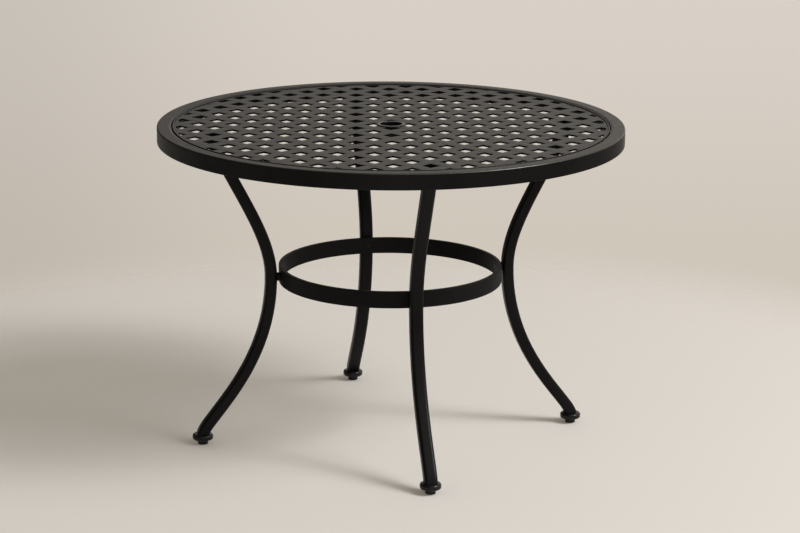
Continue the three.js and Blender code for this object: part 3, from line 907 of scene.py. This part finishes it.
def makeNuts(sizes):
    near, far, across, easing = sizes["near"], sizes["far"], sizes["across"], sizes["easing"]
    widest = across * sizes["widestShare"]
    nut = turnedHexagon(across, near, far, [
        (0, near, 0), (across / 2, near, 0), (widest, near + easing, 0),
        (widest, far - easing, 0), (across / 2, far, 0), (0, far, 0)], sizes["segments"])
    carve(nut, "DIFFERENCE", rod("hole", stretcherSizes["hole"], near - past, far + past))
    return finishedRound("ringNuts", moved(nut, layAtWaist), darkSteel)


stretcherBand = makeStretcher(stretcherSizes)
ringSpacers = makeSpacers(spacerSizes)
ringScrews = makeRingScrews(ringScrewSizes)
ringNuts = makeNuts(nutSizes)
print("stretcher ring fitted")


# Leg plates under the lattice, their bolts, and the screws through the rim's ledge
boltSizes = {
    "headTop": .7199, "headHeight": .004, "across": .010, "faceShare": .47, "widestShare": .6,
    "faceRounding": .0002, "easing": .0009, "crownPast": .001, "segments": 48,
    "radius": .003, "end": .734, "pitch": .001, "threadOverlap": .002,
}
panelScrewSizes = {
    "headTop": .7304, "headHeight": .0022, "head": .0035, "headRounding": .0012, "radius": .002,
    "end": .7361, "pitch": .0007, "shank": .002, "shankGap": .0002, "socket": .0025,
    "socketDepth": .0013, "socketPast": .001, "segments": 40,
}


def makePlates():
    low, high = plateSizes["bottom"], plateSizes["top"]
    plate = plateAtLeg(low, high, plateSizes["easing"])
    carve(plate, "DIFFERENCE", bores(plateSizes["hole"], low - past, high + past, boltPlaces()))
    return finishedRound("legPlates", plate, frameCoat)


def makeBolts(sizes):
    low, high, across = sizes["headTop"] - sizes["headHeight"], sizes["headTop"], sizes["across"]
    widest, above = across * sizes["widestShare"], high + sizes["crownPast"]
    bolt = turnedHexagon(across, low, high, [
        (0, low, 0), (across * sizes["faceShare"], low, sizes["faceRounding"]),
        (widest, low + sizes["easing"], 0), (widest, above, 0), (0, above, 0)], sizes["segments"])
    start = high - sizes["threadOverlap"]
    carve(bolt, "UNION", threadedBar("thread", sizes["radius"], start, sizes["end"], sizes["pitch"]))
    places = [Matrix.Translation(place) for place in boltPlaces()]
    mate = moved(placed("mate", bolt.data.copy()), places[1])
    pair = gathered("pair", [moved(bolt, places[0]), mate])
    return finishedRound("legBolts", pair, darkSteel)


def makePanelScrews(sizes):
    top, head, count = sizes["headTop"], sizes["head"], topSizes["screws"]
    bottom = top - sizes["headHeight"]
    screw = makeScrew(sizes, bottom, [(head, bottom, sizes["headRounding"]), (head, top, 0)], top)
    moved(screw, Matrix.Translation((topSizes["screwRing"], 0, 0)))
    return finishedRound("panelScrews", screw, darkSteel, count, math.pi / count)


legPlates = makePlates()
legBolts = makeBolts(boltSizes)
panelScrews = makePanelScrews(panelScrewSizes)
print("plates, bolts and screws in")


# Feet: a bulged collar plugged into the leg, and a pad on a threaded stem
collarSizes = {
    "radius": .024, "low": .008, "high": .025, "baseRadius": .013, "baseRounding": .0008,
    "coneTop": .0127, "lowerRounding": .0046, "upperRounding": .0052, "plugGap": .0003,
    "plugTop": .0493, "boreTop": .031, "segments": 64,
}
glideSizes = {
    "radius": .012, "top": .0077, "rounding": .0022, "topRounding": .0008, "holeRounding": .0002,
    "stemHole": .0043, "socketDepth": .004, "segments": 56,
    "stemRadius": .004, "stemLow": .004, "stemHigh": .030, "stemPitch": .00125,
}


def makeCollar(sizes):
    radius, base, low, high = sizes["radius"], sizes["baseRadius"], sizes["low"], sizes["high"]
    inward = 2 * (legSizes["wall"] + sizes["plugGap"])
    collar = moved(lathe("footCollar1", [
        (0, low, 0), (base, low, sizes["baseRounding"]),
        (radius, sizes["coneTop"], sizes["lowerRounding"]),
        (radius, high, sizes["upperRounding"]), (0, high, 0),
    ], sizes["segments"]), standAtFoot)
    carve(collar, "UNION", sweptBar(
        "plug", legSizes["width"] - inward, legSizes["depth"] - inward, legSizes["innerRounding"],
        high - past, sizes["plugTop"], mouldedBlack))
    bore = rod("bore", glideSizes["stemHole"], low - past, sizes["boreTop"])
    return carve(collar, "DIFFERENCE", moved(bore, standAtFoot))


def makeGlidePad(sizes):
    radius, top, hole = sizes["radius"], sizes["top"], sizes["stemHole"]
    socket = top - sizes["socketDepth"]
    return moved(lathe("glidePad1", [
        (0, 0, 0), (radius, 0, sizes["rounding"]), (radius, top, sizes["topRounding"]),
        (hole, top, sizes["holeRounding"]), (hole, socket, 0), (0, socket, 0),
    ], sizes["segments"]), standAtFoot)


def makeStem(sizes):
    return moved(threadedBar("glideStem1", sizes["stemRadius"], sizes["stemLow"], sizes["stemHigh"],
                             sizes["stemPitch"]), standAtFoot)


footCollars = oneForEachLeg(makeCollar(collarSizes), mouldedBlack)
glidePads = oneForEachLeg(makeGlidePad(glideSizes), mouldedBlack)
glideStems = oneForEachLeg(makeStem(glideSizes), darkSteel)
bpy.data.objects.remove(legCurve)
print("feet fitted")


# Every piece takes its place on a body
legs = range(1, legCount + 1)
hand(rimBand, "table", "frame_coat", "top_rim")
hand(latticePanel, "table", "lattice_coat", "lattice_panel")
hand(umbrellaInsert, "umbrella_ring", "black_plastic", "umbrella_ring")
hand(stretcherBand, "table", "frame_coat", "stretcher_ring")
hand(ringSpacers, "table", "frame_coat", *[f"ring_spacer_{k}" for k in legs])
hand(ringScrews, "table", "dark_steel", *[f"ring_screw_{k}" for k in legs])
hand(ringNuts, "table", "dark_steel", *[f"ring_nut_{k}" for k in legs])
hand(legPlates, "table", "frame_coat", *[f"leg_plate_{k}" for k in legs])
hand(legBolts, "table", "dark_steel", *[f"leg_bolt_{k}{side}" for k in legs for side in "ab"])
hand(panelScrews, "table", "dark_steel", *[f"panel_screw_{k + 1}" for k in range(topSizes["screws"])])
for k in legs:
    hand(legTubes[k - 1], "table", "frame_coat", f"leg_{k}")
    hand(footCollars[k - 1], "table", "black_plastic", f"foot_cap_{k}")
    hand(glidePads[k - 1], f"glide_{k}", "black_plastic", f"glide_pad_{k}")
    hand(glideStems[k - 1], f"glide_{k}", "dark_steel", f"glide_stem_{k}")


# Studio: a pale floor that runs out into the backdrop's colour, under soft light
floorSizes = {
    "radius": 3.2, "thickness": .002, "segments": 96, "fadeStart": 1, "fadeEnd": 2.05,
    "colour": (.7, .663, .618, 1), "cloudScale": 1.5, "cloudTone": 1.02, "roughness": .8, "specular": .1,
}
worldSizes = {
    # What the camera sees past the floor, from low directions to high ones, with painted shade that
    # darkens it towards the left
    "lowColour": (.625, .565, .49, 1), "highColour": (.69, .635, .575, 1), "rise": (-.26, -.14),
    "leftTone": .84, "leftWay": (-.16, -.01),
    # Lower still, in front of the table, it has the tone of the lit floor
    "nearColour": (.745, .695, .63, 1), "drop": (-.31, -.265),
    # Reflections see it darker past both sides of the picture: on the left most of all high up, on
    # the right only low down
    "leftTones": (.44, .08), "leftHeights": (-.2, -.05), "leftSide": (-.35, .1), "middleTone": 1.12,
    "rightTones": (.33, 1), "rightHeights": (-.12, .02), "rightSide": (.15, .5),
    # Soft light from all round, strongest near the floor and none from straight above
    "ambientColour": (1, .945, .84, 1), "ambient": 1.5, "ambientTop": .95,
}
lightSizes = {  # two disks one behind the other, as distance, width and power
    "direction": (1.13, -.42, 1), "aimHeight": .4, "colour": (.99, .99, 1.02),
    "keyLight": (12, 7.4, 880), "keyCentre": (8, 2, 200),
}


def makeFloor(sizes):
    radius, low = sizes["radius"], -sizes["thickness"]
    floor = lathe("floor", [(0, low, 0), (radius, low, 0), (radius, 0, 0), (0, 0, 0)], sizes["segments"])
    material, tree, shader = newMaterial("studioFloor")
    place = objectPlace(tree)
    fade = ramp(tree, vectorMaths(tree, "LENGTH", place), sizes["fadeStart"], sizes["fadeEnd"], 1, 0,
                "SMOOTHERSTEP")
    cloud = noise(tree, place, sizes["cloudScale"], detail=2)
    paler = tuple(c * sizes["cloudTone"] for c in sizes["colour"][:3]) + (1,)
    fromAbove = maths(tree, "GREATER_THAN", facingUp(tree), 0)  # from below the floor is not there
    shader.inputs["Roughness"].default_value = sizes["roughness"]
    shader.inputs["Specular IOR Level"].default_value = sizes["specular"]
    feed(tree, shader, {
        "Base Color": mixColours(tree, cloud, sizes["colour"], paler),
        "Alpha": maths(tree, "MULTIPLY", fade, fromAbove)})
    floor.data.materials.append(material)


# Directions are given as seen in the photograph and turned to the table
def fromPhoto(direction):
    return Matrix.Rotation(cameraSizes["turn"], 3, "Z") @ Vector(direction)


def background(tree, colour, strength):
    return addNode(tree, "ShaderNodeBackground", {"Color": colour, "Strength": strength}).outputs[0]


def mixShaders(tree, share, first, second):
    return addNode(tree, "ShaderNodeMixShader", {0: share, 1: first, 2: second}).outputs[0]


def makeWorld(sizes):
    scene.world = bpy.data.worlds.new("studio")
    scene.world.use_nodes = True
    tree = scene.world.node_tree
    tree.nodes.clear()
    direction = addNode(tree, "ShaderNodeTexCoord").outputs["Generated"]
    height = split(tree, direction)["Z"]
    side = vectorMaths(tree, "DOT_PRODUCT", direction, fromPhoto((1, 0, 0)))
    rise = ramp(tree, height, *sizes["rise"], 0, 1, "SMOOTHSTEP")
    seen = mixColours(tree, rise, sizes["lowColour"], sizes["highColour"])
    drop = ramp(tree, height, *sizes["drop"], 0, 1, "SMOOTHSTEP")
    ground = mixColours(tree, drop, sizes["nearColour"], seen)
    # painted shade: the backdrop that the camera sees is darker towards the left
    tone = ramp(tree, side, *sizes["leftWay"], sizes["leftTone"], 1, "SMOOTHSTEP")
    farLeft = ramp(tree, height, *sizes["leftHeights"], *sizes["leftTones"])
    fromLeft = ramp(tree, side, *sizes["leftSide"], farLeft, sizes["middleTone"], "SMOOTHSTEP")
    farRight = ramp(tree, height, *sizes["rightHeights"], *sizes["rightTones"])
    fromRight = ramp(tree, side, *sizes["rightSide"], 1, farRight, "SMOOTHSTEP")
    reflected = background(tree, seen, maths(tree, "MULTIPLY", fromLeft, fromRight))
    strength = ramp(tree, height, 0, sizes["ambientTop"], sizes["ambient"], 0)
    ambient = background(tree, sizes["ambientColour"], strength)
    rays = addNode(tree, "ShaderNodeLightPath").outputs
    bounced = mixShaders(tree, rays["Is Glossy Ray"], ambient, reflected)
    mixed = mixShaders(tree, rays["Is Camera Ray"], bounced, background(tree, ground, tone))
    addNode(tree, "ShaderNodeOutputWorld", {"Surface": mixed})


def addLights(sizes):
    way = fromPhoto(Vector(sizes["direction"]).normalized())
    for name in ("keyLight", "keyCentre"):
        distance, width, power = sizes[name]
        data = bpy.data.lights.new(name, "AREA")
        data.shape, data.size, data.energy, data.color = "DISK", width, power, sizes["colour"]
        stand = Matrix.Translation(Vector((0, 0, sizes["aimHeight"])) + way * distance)
        placed(name, data).matrix_world = stand @ way.to_track_quat("Z", "Y").to_matrix().to_4x4()


makeFloor(floorSizes)
makeWorld(worldSizes)
addLights(lightSizes)
print("studio lit")
